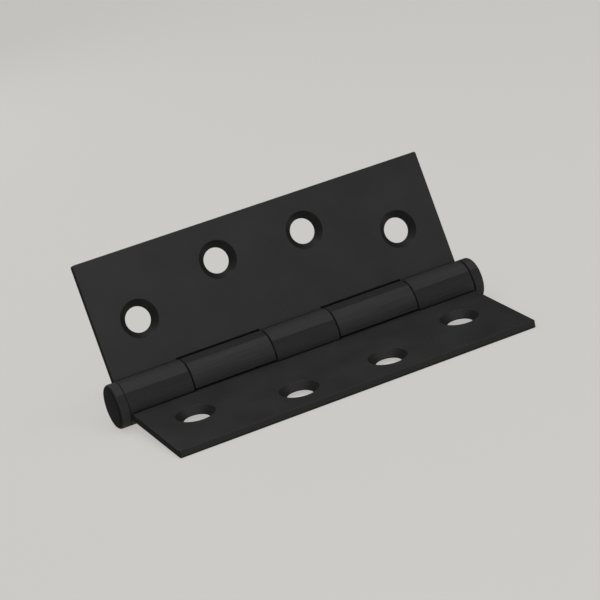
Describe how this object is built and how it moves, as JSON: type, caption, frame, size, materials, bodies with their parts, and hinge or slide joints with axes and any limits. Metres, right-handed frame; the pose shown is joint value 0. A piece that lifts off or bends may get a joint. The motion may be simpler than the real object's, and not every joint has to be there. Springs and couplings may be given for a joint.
{
  "type": "butt hinge",
  "caption": "Butt hinge with flat black steel leaves, staggered countersunk screw holes, rolled interlocking knuckles and a button-tipped pin.",
  "frame": {"origin": "middle of the lower leaf's flat back face: at mid-length, halfway between its free edge and its slot edge", "axes": "+X along the pin, +Y from the lower leaf's free edge towards the pin, +Z out of the lower leaf's countersunk face"},
  "size_m": [0.1083, 0.0556, 0.0405],
  "materials": {
    "black_coated_steel": "satin black coating",
    "bright_steel": "drawn bar"
  },
  "bodies": {
    "lower_leaf": {"two_knuckle_leaf": "black_coated_steel"},
    "upper_leaf": {"three_knuckle_leaf": "black_coated_steel", "hinge_pin": "bright_steel", "left_tip": "black_coated_steel", "right_tip": "black_coated_steel"}
  },
  "joints": [
    {"name": "pin_hinge", "type": "hinge", "parent": "lower_leaf", "child": "upper_leaf", "pos_m": [0, 0.02196, 0.0029], "axis": [-1, 0, 0], "range_deg": [-113.2, 191.8]}
  ]
}
